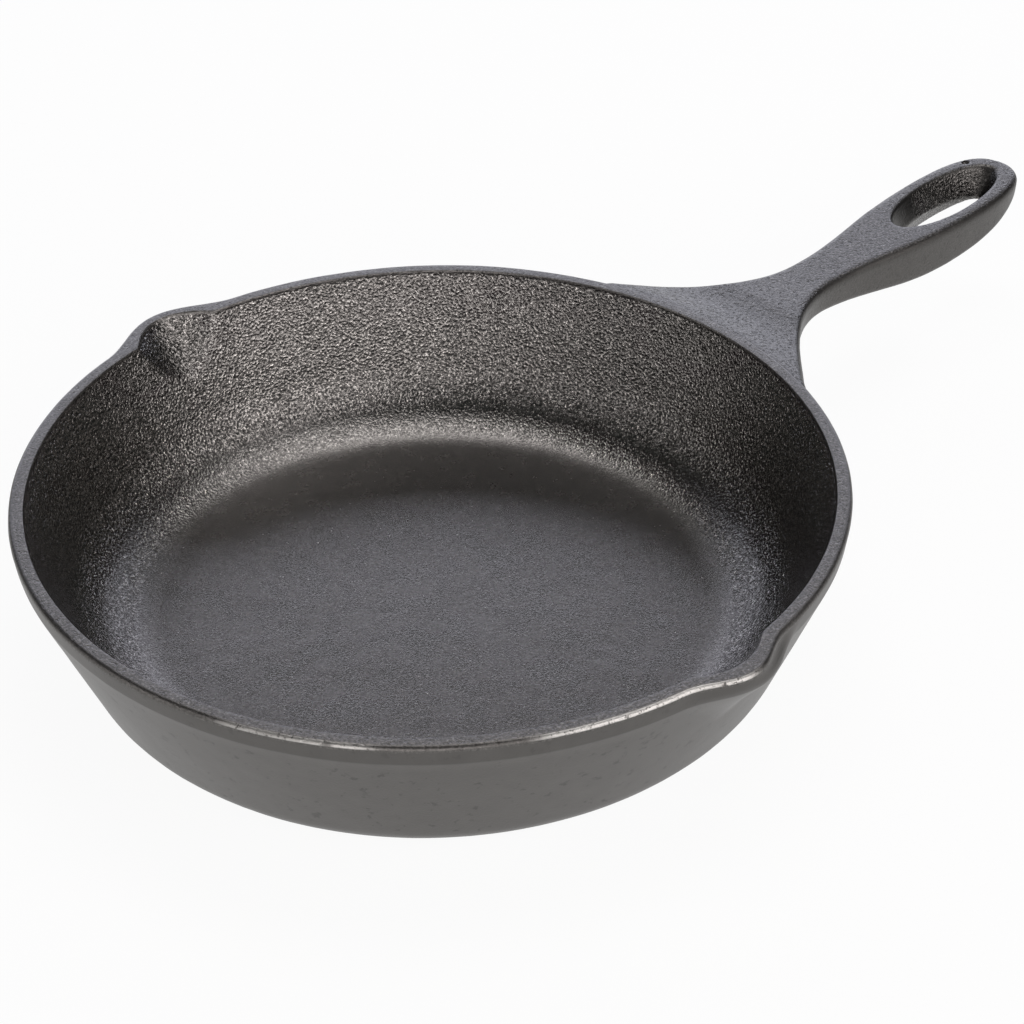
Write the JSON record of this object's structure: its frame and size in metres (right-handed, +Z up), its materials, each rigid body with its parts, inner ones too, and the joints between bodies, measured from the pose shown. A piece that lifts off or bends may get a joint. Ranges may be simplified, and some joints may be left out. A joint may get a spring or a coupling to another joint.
{
  "type": "skillet",
  "caption": "Round cast iron skillet with flared sides, a pour spout on each side, and a handle that flares from the rim and ends in a long hanging eye.",
  "frame": {"origin": "centre of the flat underside, on the table", "axes": "+X along the handle away from the bowl, +Z up, +Y towards the spout on the cook's right"},
  "size_m": [0.272, 0.1768, 0.0344],
  "materials": {
    "seasoned_iron": "baked seasoning over an as-cast pebbled surface, satin"
  },
  "bodies": {
    "root": {"pan_floor": "seasoned_iron", "side_wall": "seasoned_iron", "pour_spout_left": "seasoned_iron", "pour_spout_right": "seasoned_iron", "rim_band": "seasoned_iron", "handle_root": "seasoned_iron", "handle_neck": "seasoned_iron", "handle_eye": "seasoned_iron"}
  },
  "joints": []
}
